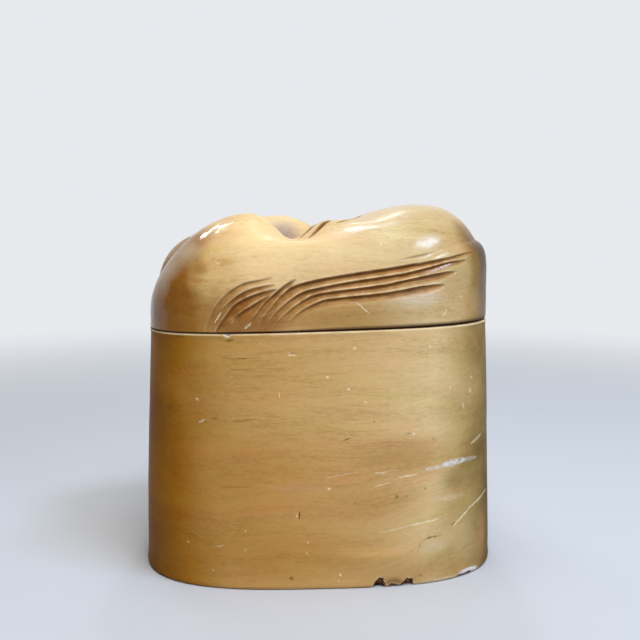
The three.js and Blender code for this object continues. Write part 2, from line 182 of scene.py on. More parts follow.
# Mesh fineness: points round a ring, steps between the rings, and where the steps change
LID_AROUND = 1280
LID_FINE_STEP = 0.24
LID_COARSE_STEP = 0.8
LID_FINE_HEIGHT = 37.0
LID_STEP_CHANGE = 3.0
BASE_AROUND = 640
BASE_FINE_STEP = 0.4
BASE_COARSE_STEP = 1.0
CHIPS_BELOW = 7
NICK_ABOVE = SEAM_HEIGHT - 4
SAWN_FACE_RING = 4

# How closely curves are followed while shapes are worked out
OUTLINE_SAMPLES = 40001
PROFILE_SAMPLES = 900
CURVE_SAMPLES = 60
STRAND_STEP = 0.4
NORMAL_REACH = 0.4
SEARCH_STEP = 0.5
SEARCH_STEPS = 100
HALVINGS = 30
POINTS_AT_ONCE = 4000
TINY = 1e-9


def smooth(start, stop, value):
    t = np.clip((value - start) / (stop - start), 0.0, 1.0)
    return t * t * (3 - 2 * t)


def unit(vectors):
    """The same directions with a length of 1."""
    return vectors / np.clip(np.linalg.norm(vectors, axis=-1, keepdims=True), TINY, None)


def travelled(line):
    """The length of a line of places from its start to each of them."""
    return np.concatenate([[0], np.cumsum(np.linalg.norm(np.diff(line, axis=0), axis=1))])


def superellipse(angle, half_width, half_depth):
    c, s = np.cos(angle), np.sin(angle)
    power = 2 / OUTLINE_POWER
    return half_width * np.sign(c) * np.abs(c) ** power, half_depth * np.sign(s) * np.abs(s) ** power


def outline_angles(count):
    """Angles of a number of evenly spaced places round the outline."""
    dense = np.linspace(0, 2 * np.pi, OUTLINE_SAMPLES)
    x, y = superellipse(dense, *SEAM_OUTLINE)
    lengths = np.concatenate([[0], np.cumsum(np.hypot(np.diff(x), np.diff(y)))])
    return np.interp(np.arange(count) / count * lengths[-1], lengths, dense)


def seam_at(x):
    return SEAM_HEIGHT + SEAM_RISE * x / SEAM_HALF_WIDTH


def lid_face_at(x):
    middle = (SEAM_GAP_LEFT + SEAM_GAP_RIGHT) / 2
    return seam_at(x) + middle + (SEAM_GAP_RIGHT - SEAM_GAP_LEFT) / 2 * x / SEAM_HALF_WIDTH


def form_height(form, x, y):
    middle_x, middle_y, top, left, right, front, back = form
    u, v = x - middle_x, y - middle_y
    along_x = np.where(u < 0, left, right)
    along_y = np.where(v < 0, front, back)
    return top - u * u / (2 * along_x) - v * v / (2 * along_y)


def soft_highest(heights, blend):
    heights = np.stack(heights)
    highest = heights.max(axis=0)
    return highest + blend * np.log(np.exp((heights - highest) / blend).sum(axis=0))


def crown_height(x, y):
    blend = VALLEY_BLEND + (FRONT_BLEND - VALLEY_BLEND) * smooth(*VALLEY_OPENS, y)
    lip_blend = (VALLEY_BLEND + (LIP_BLEND - VALLEY_BLEND) * smooth(*LIP_STARTS, y)
                 + (FACE_BLEND - LIP_BLEND) * smooth(*FACE_STARTS, y))
    lip = soft_highest([form_height(LEFT_FORM, x, y), form_height(SADDLE, x, y)], lip_blend)
    return soft_highest([lip, form_height(RIGHT_FORM, x, y), form_height(REAR_FORM, x, y)], blend)


def shoulder_power(outline_x):
    rightness = smooth(*SHOULDER_CHANGES, outline_x)
    at_left_end = smooth(LEFT_END_STARTS, -SEAM_HALF_WIDTH, outline_x)
    return SHOULDER_LEFT + (SHOULDER_RIGHT - SHOULDER_LEFT) * rightness + SHOULDER_LEFT_END * at_left_end


def rounding(share, power):
    """How much of its height a form keeps at a share of the way from its middle to the outline."""
    return np.clip(1 - share ** power, 0, None) ** (1 / power)


def skin_height(x, y):
    """Height of the lid's uncut skin over its sawn face at places in plan."""
    across = np.abs(x / SEAM_HALF_WIDTH) ** OUTLINE_POWER
    deep = np.abs(y / SEAM_HALF_DEPTH) ** OUTLINE_POWER
    share = np.clip((across + deep) ** (1 / OUTLINE_POWER), TINY, None)
    outline_x, outline_y = x / share, y / share
    behind = smooth(*BACK_TAKES_OVER, outline_y)
    front = FRONT_BAND_HEIGHT * smooth(FRONT_BAND_GONE_AT, SEAM_HALF_WIDTH, outline_x)
    back = BACK_BAND_HEIGHT * smooth(BACK_BAND_GONE_AT, -SEAM_HALF_WIDTH, outline_x)
    band = np.maximum(front * (1 - behind) + back * behind, SEAM_EASE)
    band_power = FRONT_BAND_POWER + (BACK_BAND_POWER - FRONT_BAND_POWER) * behind
    crown = crown_height(x, y) - (seam_at(x) - SEAM_HEIGHT)
    rounded = crown * rounding(share, shoulder_power(outline_x))
    upright = band * smooth(*BAND_STARTS, share) * rounding(share, band_power)
    return np.maximum(rounded, upright)


def waves(points, wavelength, seed, count=14):
    """Smooth random unevenness between about -1 and 1 for points in millimetres."""
    rng = np.random.default_rng(seed)
    directions = unit(rng.normal(size=(count, 3)))
    lengths = wavelength * rng.uniform(0.7, 1.5, count)
    phases = rng.uniform(0, 2 * np.pi, count)
    total = np.zeros(len(points))
    for direction, length, phase in zip(directions, lengths, phases):
        total += np.sin(points @ direction * (2 * np.pi / length) + phase)
    return total / math.sqrt(count)


def unevenness(points, layers, lowered=0.0):
    """Layers of waves, each given as its strength, wavelength and seed, added up."""
    return sum(strength * (waves(points, length, seed) - lowered) for strength, length, seed in layers)


def grid_normals(grid):
    """Outward normals of a grid of rings that climb from the seam; the last axis is x, y, z."""
    around = np.roll(grid, -1, axis=1) - np.roll(grid, 1, axis=1)
    climb = np.gradient(grid, axis=0)
    return unit(np.cross(around, climb))


def lid_skin():
    """Rings of the uncut skin, closer together where the strands lie."""
    outline_x, outline_y = superellipse(outline_angles(LID_AROUND), *SEAM_OUTLINE)
    power = shoulder_power(outline_x)[:, None]
    turn = np.linspace(0, np.pi / 2, PROFILE_SAMPLES)[None, :]
    share = np.cos(turn) * (np.cos(turn) ** power + np.sin(turn) ** power) ** (-1 / power)
    share[:, -1] = 0
    x = outline_x[:, None] * share
    y = outline_y[:, None] * share
    height = np.maximum(skin_height(x, y), np.where(turn > 0, SEAM_EASE, 0))
    dense = np.stack([x, y, lid_face_at(x) + height], axis=2)
    steps = np.linalg.norm(np.diff(dense, axis=1), axis=2)
    coarseness = smooth(LID_FINE_HEIGHT - LID_STEP_CHANGE, LID_FINE_HEIGHT + LID_STEP_CHANGE,
                        (height[:, 1:] + height[:, :-1]) / 2)
    spacing = LID_FINE_STEP + (LID_COARSE_STEP - LID_FINE_STEP) * coarseness
    weight = np.concatenate([np.zeros((LID_AROUND, 1)), np.cumsum(steps / spacing, axis=1)], axis=1)
    rings = int(np.median(weight[:, -1]))
    grid = np.empty((rings, LID_AROUND, 3))
    for k in range(LID_AROUND):
        first = np.interp(LID_EDGE, np.cumsum(steps[k]), weight[k, 1:])
        targets = np.linspace(first, weight[k, -1], rings + 1)[:-1]
        for axis in range(3):
            grid[:, k, axis] = np.interp(targets, weight[k], dense[k, :, axis])
    return grid


def catmull(points, step):
    """Evenly spaced places along a smooth curve through points in two numbers."""
    p = np.array(points, float)
    padded = np.vstack([p[0], p, p[-1]])
    t = np.linspace(0, 1, CURVE_SAMPLES)[:, None]
    pieces = []
    for i in range(len(p) - 1):
        a, b, c, d = padded[i:i + 4]
        m0, m1 = (c - a) / 2, (d - b) / 2
        pieces.append((2 * t**3 - 3 * t**2 + 1) * b + (t**3 - 2 * t**2 + t) * m0
                      + (-2 * t**3 + 3 * t**2) * c + (t**3 - t**2) * m1)
    dense = np.vstack(pieces)
    lengths = travelled(dense)
    even = np.arange(0, lengths[-1], step)
    return np.stack([np.interp(even, lengths, dense[:, axis]) for axis in (0, 1)], axis=1)


def place_on_side(side, x, height):
    """Points on the front (side -1) or back (side 1) from x and the height over the seam."""
    within = np.clip(np.abs(x / SEAM_HALF_WIDTH), 0, 0.999)
    outer = SEAM_HALF_DEPTH * (1 - within ** OUTLINE_POWER) ** (1 / OUTLINE_POWER)
    inner = outer.copy()
    for _ in range(SEARCH_STEPS):
        low = (inner > 0) & (skin_height(x, side * inner) < height)
        outer = np.where(low, inner, outer)
        inner = np.where(low, inner - SEARCH_STEP, inner)
    for _ in range(HALVINGS):
        middle = (inner + outer) / 2
        low = skin_height(x, side * middle) < height
        outer = np.where(low, middle, outer)
        inner = np.where(low, inner, middle)
    return np.stack([x, side * inner, lid_face_at(x) + height], axis=1)


def place_on_top(x, y):
    return np.stack([x, y, lid_face_at(x) + skin_height(x, y)], axis=1)


class Strand:
    """A cut's line on the skin, with its normal, its downhill side and its depth at each place."""

    def __init__(self, place, points, outward, cut, runout, at_seam, widens):
        places = catmull(points, STRAND_STEP)
        u, v = places[:, 0], places[:, 1]
        self.line = place(u, v)
        along_u = place(u + NORMAL_REACH, v) - self.line
        along_v = place(u, v + NORMAL_REACH) - self.line
        self.normal = unit(np.cross(along_u, along_v) * outward)
        self.along = unit(np.gradient(self.line, axis=0))
        self.across = np.cross(self.normal, self.along)
        gone = travelled(self.line)
        left = gone[-1] - gone
        start = np.clip(gone / runout, 0, 1) ** RUNOUT_POWER
        if at_seam:
            end = at_seam + (1 - at_seam) * np.clip(left / SEAM_FADE, 0, 1) ** SEAM_FADE_POWER
        else:
            end = np.clip(left / GOUGE_RUNOUT, 0, 1) ** RUNOUT_POWER
        self.share = cut * start * end
        self.long = GOUGE_LONG * (1 + WIDENING * smooth(*STRANDS_WIDEN, u * outward) * widens)


def lid_strands():
    strands = []
    for side in (-1, 1):
        def place(x, height, side=side):
            return place_on_side(side, x, height)
        for cut, runout, at_seam, points in SIDE_STRANDS:
            turned = [(-side * x, height) for x, height in points]
            strands.append(Strand(place, turned, -side, cut, runout, at_seam, True))
    for cut, points in TOP_STRANDS:
        strands.append(Strand(place_on_top, points, 1, cut, GOUGE_RUNOUT, 0, False))
    return strands


def carve(points, strands):
    """Push points in along the cuts' normals. Returns the points and, from 0 to 1, how deep each
    lies in a cut, how far it is on a cut's steep wall and how near to the crest over that wall."""
    push = np.zeros_like(points)
    depth, wall, crest = np.zeros(len(points)), np.zeros(len(points)), np.zeros(len(points))
    reach = GOUGE_LONG * (1 + WIDENING) + 1.0
    for strand in strands:
        low = strand.line.min(axis=0) - reach
        high = strand.line.max(axis=0) + reach
        near = np.flatnonzero(np.all((points > low) & (points < high), axis=1))
        for chunk in np.array_split(near, max(1, len(near) // POINTS_AT_ONCE)):
            offsets = points[chunk][:, None, :] - strand.line[None, :, :]
            nearest = np.argmin((offsets**2).sum(axis=2), axis=1)
            d = offsets[np.arange(len(chunk)), nearest]
            side = (d * strand.across[nearest]).sum(axis=1)
            beyond = np.abs((d * strand.along[nearest]).sum(axis=1))
            away = np.abs((d * strand.normal[nearest]).sum(axis=1))
            share = strand.share[nearest] * (beyond < CUT_PAST_END) * (away < CUT_THROUGH)
            width = NARROWEST_CUT + (1 - NARROWEST_CUT) * share
            lower = np.clip(1 - side / (strand.long[nearest] * width), 0, 1) ** GOUGE_HOLLOW
            upper = np.clip(1 + side / (GOUGE_STEEP * width), 0, 1)
            cut = share * np.where(side > 0, lower, upper)
            deeper = cut > depth[chunk]
            ids = chunk[deeper]
            depth[ids] = cut[deeper]
            push[ids] = -strand.normal[nearest[deeper]] * (GOUGE_DEPTH * cut[deeper])[:, None]
            steep = smooth(WALL_DARK_BELOW, 0.0, side) * smooth(-GOUGE_STEEP - WALL_DARK_ABOVE, -GOUGE_STEEP, side)
            wall[chunk] = np.maximum(wall[chunk], share * steep)
            edge = share * np.exp(-((side + GOUGE_STEEP + CREST_WIDTH) / CREST_WIDTH) ** 2)
            crest[chunk] = np.maximum(crest[chunk], edge)
    return points + push, depth, wall, crest


def link(name, data):
    piece = bpy.data.objects.new(name, data)
    bpy.context.scene.collection.objects.link(piece)
    return piece


def mesh_object(name, rings, caps, attributes):
    """A closed skin through rings of points, given in order with the material inside. caps are
    the points on the axis that close either end, and take the values of the rings beside them."""
    rings = np.array(rings)
    points = np.vstack([caps[0], rings.reshape(-1, 3), caps[1]]) * MM
    here = 1 + np.arange(rings.shape[0] * rings.shape[1]).reshape(rings.shape[:2])
    after = np.roll(here, -1, axis=1)
    quads = np.stack([here[:-1], after[:-1], after[1:], here[1:]], axis=2).reshape(-1, 4)
    first = np.stack([0 * here[0], after[0], here[0]], axis=1)
    last = np.stack([here[-1], after[-1], 0 * here[-1] + len(points) - 1], axis=1)
    mesh = bpy.data.meshes.new(name)
    mesh.from_pydata(points, [], quads.tolist() + first.tolist() + last.tolist(), shade_flat=False)
    mesh.validate()
    for label, values in attributes.items():
        values = np.concatenate([values[0, :1], values.ravel(), values[-1, :1]])
        mesh.attributes.new(label, "FLOAT", "POINT").data.foreach_set("value", values)
    return link(name, mesh)


def moved_in(outline, inset):
    return tuple(half - inset for half in outline)


def shrunk(outline, share):
    return tuple(half * share for half in outline)


def ring(angles, outline, inset, height_at):
    """Places round an outline, moved in by inset, at the heights that height_at gives for x."""
    x, y = superellipse(angles, *moved_in(outline, inset))
    return np.stack([x, y, height_at(x)], axis=1)


def level(height):
    return lambda x: height + 0 * x


def leaning(height, lowest=0.0):
    """A height that takes its share of the seam's slope, which is all of it at the seam."""
    share = (height - lowest) / (SEAM_HEIGHT - lowest)
    return lambda x: height + (seam_at(x) - SEAM_HEIGHT) * share


def under_seam(drop):
    return lambda x: seam_at(x) - drop


def over_lid_face(rise):
    return lambda x: lid_face_at(x) + rise


def between(low, high, share):
    return lambda x: low(x) * (1 - share) + high(x) * share


def on_axis(height):
    return np.array([0.0, 0.0, height])


def quarter_round(radius, turns):
    """How much of a rounded edge is left to go, along either of its sides, at each angle."""
    return [(radius * (1 - math.cos(turn)), radius * (1 - math.sin(turn))) for turn in turns]


def make_lid():
    grid = lid_skin()
    normals = grid_normals(grid).reshape(-1, 3)
    points, cut, wall, crest = carve(grid.reshape(-1, 3), lid_strands())
    hand = unevenness(points, LID_UNEVENNESS) - LID_SUNK
    above_edge = smooth(0, 3, points[:, 2] - lid_face_at(points[:, 0]))
    points = points + normals * hand[:, None] * above_edge[:, None]
    grid = points.reshape(grid.shape)

    # Under the skin: the recess for the board, the sawn face and the rounded lower edge
    angles = outline_angles(LID_AROUND)
    recess = moved_in(SEAM_OUTLINE, WALL + PLUG_CLEARANCE - GLUE_LINE)
    under = [
        ring(angles, shrunk(recess, 0.5), 0, over_lid_face(PLUG_LET_IN)),
        ring(angles, recess, RECESS_EASE, over_lid_face(PLUG_LET_IN)),
        ring(angles, recess, 0, over_lid_face(PLUG_LET_IN - RECESS_EASE)),
        ring(angles, recess, 0, over_lid_face(RECESS_MOUTH_EASE)),
        ring(angles, recess, -RECESS_MOUTH_EASE, lid_face_at),
        ring(angles, SEAM_OUTLINE, SAWN_FACE_RING, lid_face_at),
        ring(angles, SEAM_OUTLINE, LID_EDGE, lid_face_at),
        ring(angles, SEAM_OUTLINE, LID_EDGE_MIDDLE, over_lid_face(LID_EDGE_MIDDLE)),
    ]
    rings = np.concatenate([under, grid])
    attributes = {label: np.zeros(rings.shape[:2])
                  for label in ("inside", "edge", "mating", "cut", "wall", "crest")}
    for label, values in (("cut", cut), ("wall", wall), ("crest", crest)):
        attributes[label][len(under):] = values.reshape(grid.shape[:2])
    attributes["inside"][:6] = 1
    attributes["edge"][6:8] = 1
    attributes["mating"][4:7] = 1
    caps = (on_axis(lid_face_at(0.0) + PLUG_LET_IN), on_axis(grid[-1][:, 2].mean()))
    return mesh_object("carved_lid", rings, caps, attributes)


def base_outline(height):
    flare = 1 - (height / SEAM_HEIGHT) ** SPREAD_POWER
    return shrunk(SEAM_OUTLINE, 1 + FOOT_SPREAD / SEAM_HALF_WIDTH * flare)


def chip_depth(points):
    """How far the front surface of the base is broken away at each point."""
    x, y, z = points[:, 0], points[:, 1], points[:, 2]
    ragged = unevenness(points, CHIP_UNEVENNESS)
    total = np.zeros(len(points))
    for middle, half, tall, deep in FOOT_CHIPS:
        reach = 1 - np.hypot((x - middle) / half, z / tall) + 0.35 * ragged
        total = np.maximum(total, deep * np.clip(reach * CHIP_STEEPNESS, 0, 1) * (0.8 + 0.3 * ragged))
    middle, half, tall, deep = RIM_NICK
    reach = 1 - np.hypot((x - middle) / half, (seam_at(x) - z) / tall) + 0.2 * ragged
    total = np.maximum(total, deep * np.clip(reach * NICK_STEEPNESS, 0, 1))
    return np.where(y < CHIPS_IN_FRONT_OF, np.clip(total, 0, None), 0)


def base_outside(angles):
    """Rings from the rounded foot up the side, and those over the eased rim."""
    below_rim = [ring(angles, base_outline(height), inset, level(height))
                 for height, inset in quarter_round(FOOT_EASE, np.linspace(0, np.pi / 2, 5))]
    heights = np.concatenate([
        np.arange(FOOT_EASE + 0.35, CHIPS_BELOW, BASE_FINE_STEP),
        np.arange(CHIPS_BELOW, NICK_ABOVE, BASE_COARSE_STEP),
        np.linspace(NICK_ABOVE, SEAM_HEIGHT - SEAM_EASE, 10),
    ])
    below_rim += [ring(angles, base_outline(height), 0, leaning(height)) for height in heights]
    rim = [ring(angles, SEAM_OUTLINE, inset, under_seam(drop))
           for inset, drop in quarter_round(SEAM_EASE, np.radians([30, 60, 90]))]
    return below_rim, rim


def base_inside(angles, hollow):
    """Rings in over the sawn face, down the wall of the hollow and in over its floor."""
    rings = [ring(angles, SEAM_OUTLINE, SAWN_FACE_RING, seam_at)]
    rings += [ring(angles, hollow, -out, under_seam(down)) for out, down in MOUTH_EASE]
    rings += [ring(angles, hollow, 0, leaning(height, FLOOR))
              for height in np.linspace(SEAM_HEIGHT - 3, FLOOR + CAVITY_CORNER, 44)]
    rings += [ring(angles, hollow, inset, level(FLOOR + rise))
              for inset, rise in quarter_round(CAVITY_CORNER, np.linspace(0, np.pi / 2, 9)[1:])]
    floor = moved_in(hollow, CAVITY_CORNER)
    rings += [ring(angles, shrunk(floor, share), 0, level(FLOOR)) for share in np.linspace(1, 0.05, 24)[1:]]
    return rings


def away_from_axis(points, outline):
    half_width, half_depth = outline
    return unit(points * np.array([1 / half_width**2, 1 / half_depth**2, 0]))


def make_base():
    angles = outline_angles(BASE_AROUND)
    hollow = moved_in(SEAM_OUTLINE, WALL)
    below_rim, rim = base_outside(angles)
    outer = np.vstack(below_rim + rim)
    inner = np.vstack(base_inside(angles, hollow))

    # The outside is hollowed and swollen a little by the hand that carved it, always inwards
    uneven = unevenness(outer, BASE_UNEVENNESS, BASE_WAVE_PEAK)
    fade = smooth(0, 6, outer[:, 2]) * smooth(0, 3, seam_at(outer[:, 0]) - outer[:, 2])
    chipped = chip_depth(outer)
    outer = outer + away_from_axis(outer, SEAM_OUTLINE) * (uneven * fade - chipped)[:, None]

    # Tool marks in the hollow: shallow scallops left by a gouge, cut along the grain
    scallops = unevenness(inner * np.array([0.25, 1, 1]), HOLLOW_SCALLOPS)
    deep = smooth(2, 8, seam_at(inner[:, 0]) - inner[:, 2])
    on_wall = smooth(FLOOR, FLOOR + CAVITY_CORNER, inner[:, 2])
    inner = inner + away_from_axis(inner, hollow) * (scallops * deep * on_wall)[:, None]
    inner[:, 2] -= np.abs(scallops) * deep * (1 - on_wall)

    rings = np.vstack([outer, inner]).reshape(-1, BASE_AROUND, 3)
    attributes = {label: np.zeros(rings.shape[:2]) for label in ("broken", "inside", "edge", "mating")}
    rim_starts = len(below_rim) - 1
    inside_starts = len(below_rim) + len(rim)
    attributes["broken"][:inside_starts] = np.clip(chipped / 0.8, 0, 1).reshape(-1, BASE_AROUND)
    attributes["inside"][inside_starts:] = 1
    attributes["edge"][rim_starts:inside_starts] = 1
    attributes["mating"][inside_starts:inside_starts + 2] = 1
    return mesh_object("hollowed_base", rings, (on_axis(0.0), on_axis(FLOOR - 0.05)), attributes)


def make_plug():
    angles = outline_angles(BASE_AROUND)
    board = moved_in(SEAM_OUTLINE, WALL + PLUG_CLEARANCE)
    lowest = under_seam(PLUG_DROP)
    side_starts = under_seam(PLUG_DROP - PLUG_EASE)
    highest = over_lid_face(PLUG_LET_IN - GLUE_LINE)
    rings = [ring(angles, shrunk(board, share), 0, lowest) for share in np.linspace(0.1, 0.96, 18)]
    rings += [ring(angles, board, inset, under_seam(PLUG_DROP - rise))
              for rise, inset in quarter_round(PLUG_EASE, np.linspace(0, np.pi / 2, 6))]
    rings += [ring(angles, board, 0, between(side_starts, highest, share))
              for share in np.linspace(0, 1, 12)[1:]]
    rings = np.array(rings)
    planed = unevenness(rings.reshape(-1, 3) * np.array([0.15, 1, 1]), BOARD_UNEVENNESS, BOARD_WAVE_PEAK)
    below = smooth(4, 0, rings[:, :, 2] - lowest(rings[:, :, 0]))
    rings[:, :, 2] -= planed.reshape(below.shape) * below
    caps = (on_axis(lowest(0.0) + 0.1), on_axis(highest(0.0)))
    return mesh_object("locating_board", rings, caps, {"inside": np.ones(rings.shape[:2])})


def colour(red, green, blue):
    """A colour as it is seen, 0 to 255, as the linear values that a material takes."""
    def linear(value):
        value /= 255
        return value / 12.92 if value <= 0.04045 else ((value + 0.055) / 1.055) ** 2.4
    return (linear(red), linear(green), linear(blue), 1.0)


class Nodes:
    """Short names for building a material's nodes."""

    def __init__(self, tree):
        self.tree = tree

    def fill(self, node, values):
        """Set or link a node's inputs, given by name or number."""
        for key, value in values.items():
            if isinstance(value, bpy.types.NodeSocket):
                self.tree.links.new(value, node.inputs[key])
            else:
                node.inputs[key].default_value = value
        return node

    def add(self, kind, values=(), **settings):
        """A new node with its inputs, given in order or by name, and its settings."""
        node = self.tree.nodes.new(kind)
        for key, value in settings.items():
            setattr(node, key, value)
        return self.fill(node, values if isinstance(values, dict) else dict(enumerate(values)))

    def math(self, operation, *values):
        """The values taken together one after another."""
        total = values[0]
        for value in values[1:]:
            total = self.add("ShaderNodeMath", (total, value), operation=operation).outputs[0]
        return total

    def times(self, *values):
        return self.math("MULTIPLY", *values)

    def plus(self, *values):
        return self.math("ADD", *values)

    def swing(self, noise, amount):
        """A noise between 0 and 1 as one that swings to both sides of 0."""
        return self.times(self.math("SUBTRACT", noise, 0.5), amount)

    def vector(self, operation, a, b=(0, 0, 0)):
        node = self.add("ShaderNodeVectorMath", (a, b), operation=operation)
        return node.outputs["Value" if operation in ("LENGTH", "DOT_PRODUCT", "DISTANCE") else "Vector"]

    def scaled(self, vector, factor):
        return self.add("ShaderNodeVectorMath", {0: vector, "Scale": factor}, operation="SCALE").outputs[0]

    def parts(self, vector):
        """A vector's x, y and z."""
        return self.add("ShaderNodeSeparateXYZ", (vector,)).outputs

    def step(self, value, start, stop, low=0.0, high=1.0):
        if start > stop:
            start, stop, low, high = stop, start, high, low
        return self.add("ShaderNodeMapRange", (value, start, stop, low, high),
                        interpolation_type="SMOOTHSTEP", clamp=True).outputs[0]

    def noise(self, vector, scale, roughness, detail=3, distortion=0.0, output="Fac"):
        values = {"Vector": vector, "Scale": scale, "Detail": detail, "Roughness": roughness,
                  "Distortion": distortion}
        return self.add("ShaderNodeTexNoise", values, noise_dimensions="3D").outputs[output]

    def grain(self, place, stretch, roughness, detail=3, distortion=0.0):
        """A noise with its own scale along each axis."""
        return self.noise(self.vector("MULTIPLY", place, stretch), 1.0, roughness, detail, distortion)

    def mix(self, factor, a, b, blend="MIX"):
        return self.add("ShaderNodeMix", {"Factor": factor, 6: a, 7: b}, data_type="RGBA",
                        blend_type=blend, clamp_factor=True).outputs[2]

    def ramp(self, factor, stops):
        node = self.add("ShaderNodeValToRGB", (factor,))
        elements = node.color_ramp.elements
        while len(elements) < len(stops):
            elements.new(0.5)
        for element, (place, shade) in zip(elements, stops):
            element.position = place
            element.color = shade
        return node.outputs["Color"]

    def attribute(self, label):
        return self.add("ShaderNodeAttribute", attribute_type="GEOMETRY", attribute_name=label).outputs["Fac"]


def mark_group():
    """A soft mask round a straight mark between two places on a flat picture of the front."""
    group = bpy.data.node_groups.new("mark", "ShaderNodeTree")
    for label in ("Place", "From", "To"):
        group.interface.new_socket(label, in_out="INPUT", socket_type="NodeSocketVector")
    group.interface.new_socket("Width", in_out="INPUT", socket_type="NodeSocketFloat")
    group.interface.new_socket("Mask", in_out="OUTPUT", socket_type="NodeSocketFloat")
    n = Nodes(group)
    given = n.add("NodeGroupInput").outputs
    from_start = n.vector("SUBTRACT", given["Place"], given["From"])
    run = n.vector("SUBTRACT", given["To"], given["From"])
    part = n.math("DIVIDE", n.vector("DOT_PRODUCT", from_start, run), n.vector("DOT_PRODUCT", run, run))
    part = n.math("MINIMUM", n.math("MAXIMUM", part, 0.0), 1.0)
    gap = n.vector("DISTANCE", from_start, n.scaled(run, part))

    # Widest in the middle, and thin at both ends
    bulge = n.times(part, n.math("SUBTRACT", 1.0, part), 1.5)
    width = n.times(given["Width"], n.plus(bulge, 0.45))
    n.add("NodeGroupOutput", (n.step(n.math("DIVIDE", gap, width), 0.25, 1.0, 1.0, 0.0),))
    return group


MARK = mark_group()


# Marks on the front of the base. A line is x and height at one end and at the other, half width
# and strength, and a spot is x, height, half width and strength. Pale scratches and dents first.
PALE_BASE_LINES = [
    (55.5, 23.5, 63, 29.5, 0.85, 0.7), (63, 29.5, 73, 33.5, 0.8, 0.65),
    (22.5, 23.5, 35.5, 26, 0.7, 0.35), (35.5, 26, 48, 27.5, 0.8, 0.6), (30.5, 46.5, 39, 47.5, 0.6, 0.7),
    (20.5, 43, 27.5, 44.5, 0.5, 0.55), (20.5, 48.5, 26, 49, 0.5, 0.6),
    (26.5, 49.5, 31, 49.5, 0.35, 0.35), (1, 47, 13.5, 49.5, 0.45, 0.35),
    (-14.5, 99, -13, 97.5, 0.5, 0.5), (-14, 97.5, -11, 97.5, 0.6, 0.75), (16, 79, 17.5, 78, 0.5, 0.8),
    (-18, 82.5, -18, 80.5, 0.5, 0.75), (-52, 79, -50.5, 78.5, 0.6, 0.6),
    (-50.5, 69.5, -48.5, 70.5, 0.8, 0.95), (-44.5, 18, -41, 18.5, 0.45, 0.55),
    (-31.5, 17.5, -33, 16, 0.45, 0.4), (6.5, 6.5, 7, 5.5, 0.75, 0.95), (-11, 33, -11, 30.5, 0.4, 0.5),
    (62.5, 81, 62.5, 79, 1.1, 0.35), (58.5, 75, 59.5, 73, 1.1, 0.3), (63.5, 57, 68.5, 59.5, 1.4, 0.4),
]
PALE_BASE_SPOTS = [
    (1.5, 88.5, 0.75, 1.0), (12.5, 100, 0.8, 0.95), (10, 83.5, 0.8, 1.0), (43.5, 100, 0.7, 0.85),
    (52.5, 82.5, 0.6, 0.6), (37, 64.5, 0.95, 0.8), (63, 85.5, 0.7, 0.6), (2, 42.5, 0.95, 0.95),
    (-32, 25, 0.6, 0.6), (-56, 18.5, 0.7, 0.6), (-45.5, 7.5, 0.6, 0.5), (-6.5, 20, 0.65, 0.65),
    (-7, 15.5, 0.65, 0.65), (6, 3.5, 0.5, 0.6),
]
# Dark nicks, the crack near the lower right corner, stains in the grain and specks
DARK_BASE_LINES = [
    (-10, 33, -10, 30, 0.5, 0.95), (8, 62.5, 10.5, 63.5, 0.55, 0.7), (33.5, 64.5, 36, 64.5, 0.5, 0.45),
    (43.5, 19.5, 45.5, 20, 0.75, 0.85), (45.5, 20, 47.5, 20, 0.6, 0.85),
    (47.5, 20, 50.5, 20.5, 0.4, 0.45), (40.5, 19, 43.5, 19.5, 0.45, 0.4),
    (39, 14.5, 40.5, 19, 0.5, 0.28), (54, 23.5, 55.5, 24.5, 0.6, 0.6), (-35, 96, -31, 96, 0.5, 0.65),
    (-41, 96.5, -35, 95.5, 0.7, 0.22), (-31, 96, -25, 96.5, 0.5, 0.2),
    (-37.5, 91.5, -27.5, 91.5, 0.7, 0.25), (-51.5, 69.5, -48, 70, 0.7, 0.4),
    (-45.5, 71, -43, 71.5, 0.7, 0.4), (-36.5, 70.5, -27.5, 71.5, 0.8, 0.33),
    (-23.5, 72.5, -17.5, 72.5, 0.7, 0.25), (-43, 43, -29.5, 43.5, 0.45, 0.37),
    (-24.5, 45, -21.5, 45.5, 0.4, 0.35), (25, 60, 31, 59.5, 0.5, 0.25), (5, 74.5, 11.5, 75, 0.45, 0.25),
    (-39, 103, -36.5, 103.5, 1.1, 0.55), (-60, 104, -55, 104.5, 0.8, 0.4),
]
DARK_BASE_SPOTS = [
    (20.5, 70, 0.7, 0.4), (45.5, 61.5, 0.7, 0.5), (42, 41, 0.7, 0.6), (30, 38.5, 0.9, 0.6),
    (34, 38.5, 0.6, 0.4), (12.5, 36, 0.6, 0.4), (-13.5, 5, 1.3, 0.6), (40.5, 4, 0.7, 0.5),
    (-63.5, 74, 2.2, 0.25),
]
# A long whitish scrape at the right of the front
SCRAPE_LINES = [(42.5, 49, 52, 50, 1.5, 0.75), (49, 50, 60, 51, 2.6, 1.0), (58, 51, 66, 50.5, 1.7, 0.5)]
